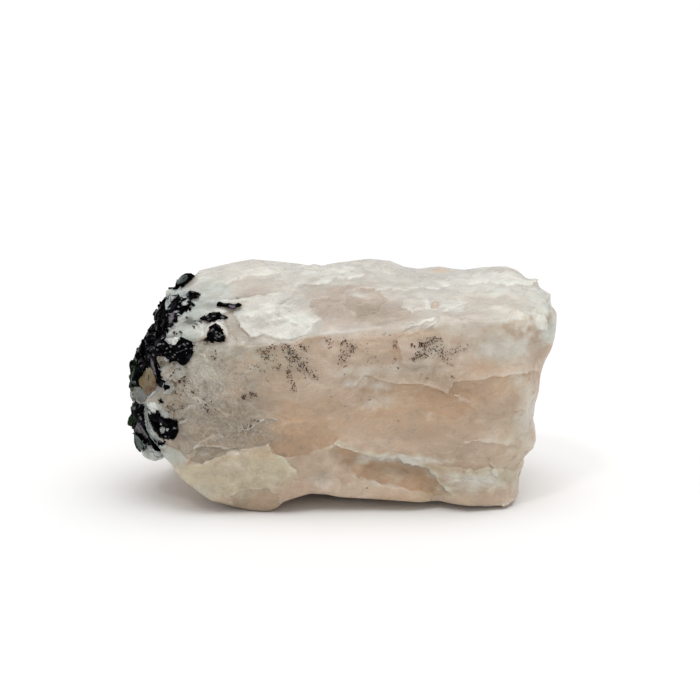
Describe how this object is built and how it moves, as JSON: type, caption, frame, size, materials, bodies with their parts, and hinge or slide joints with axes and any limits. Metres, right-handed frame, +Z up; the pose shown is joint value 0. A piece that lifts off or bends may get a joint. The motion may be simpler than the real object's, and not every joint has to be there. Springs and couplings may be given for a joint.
{
  "type": "quartz with tourmaline",
  "caption": "Broken chunk of cloudy rose-tan quartz, lying flat, with black tourmaline crystals grown into its left end.",
  "frame": {"origin": "on the ground under the middle of the specimen's box", "axes": "+X to the right along the chunk, away from the tourmaline end; -Y towards the front face; +Z up"},
  "size_m": [0.119, 0.0582, 0.0635],
  "materials": {
    "quartz": "cloudy, waxy broken surface, rose to tan with frosted white",
    "tourmaline": "black, glassy, with fine lengthwise striations",
    "green_tourmaline": "dark green, glassy, rough ends"
  },
  "bodies": {
    "root": {"quartz": "quartz", "tourmaline_back_chip": "tourmaline", "tourmaline_back_prism": "tourmaline", "tourmaline_block": "tourmaline", "tourmaline_crown": "tourmaline", "tourmaline_dot": "tourmaline", "tourmaline_edge_chip": "tourmaline", "tourmaline_end_cluster": "tourmaline", "tourmaline_green_stub": "green_tourmaline", "tourmaline_inset_middle": "tourmaline", "tourmaline_inset_upper": "tourmaline", "tourmaline_left_prism": "tourmaline", "tourmaline_low_chip": "tourmaline", "tourmaline_lower_blades": "tourmaline", "tourmaline_lower_cluster": "tourmaline", "tourmaline_mass": "tourmaline", "tourmaline_needle": "tourmaline", "tourmaline_side_chip": "tourmaline", "tourmaline_small_chip": "tourmaline", "tourmaline_upper_chip": "tourmaline", "tourmaline_upper_cluster": "tourmaline"}
  },
  "joints": []
}
